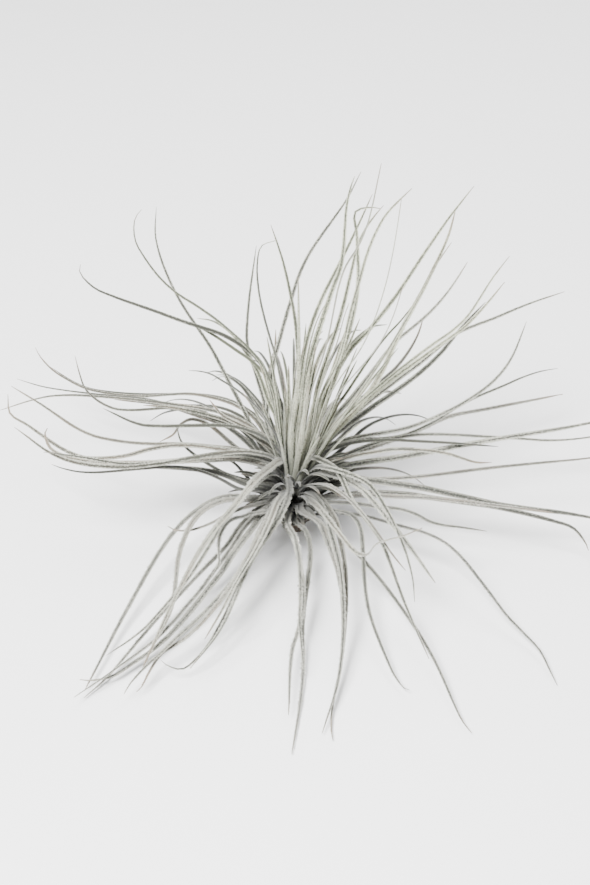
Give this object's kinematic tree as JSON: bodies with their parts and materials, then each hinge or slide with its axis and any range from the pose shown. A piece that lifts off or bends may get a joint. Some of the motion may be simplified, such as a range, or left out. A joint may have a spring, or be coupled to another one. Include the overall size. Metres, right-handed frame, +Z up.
{
  "type": "air plant",
  "caption": "Silvery air plant: a rosette of fuzzy, channelled, thread-tipped leaves, upright tuft above and arching leaves below, on a short cut stem.",
  "frame": {"origin": "middle of the flat cut face under the stem foot, on the surface the plant rests on", "axes": "+Z up along the stem, +X to the right of the front view, +Y to the back; the tuft leans a little back and to the right"},
  "size_m": [0.4054, 0.3651, 0.2454],
  "materials": {
    "stem_bark": "dry, fibrous and matte",
    "old_leaf": "matte, thickly covered with silver-white scales",
    "silver_leaf": "matte, velvety with silver scales",
    "young_leaf": "matte, velvety, slightly greener silver"
  },
  "bodies": {
    "root": {"stem_foot": "stem_bark", "whorl_01": "old_leaf", "whorl_02": "old_leaf", "whorl_03": "old_leaf", "whorl_04": "silver_leaf", "whorl_05": "silver_leaf", "whorl_06": "silver_leaf", "whorl_07": "silver_leaf", "whorl_08": "young_leaf", "whorl_09": "young_leaf"}
  },
  "joints": []
}
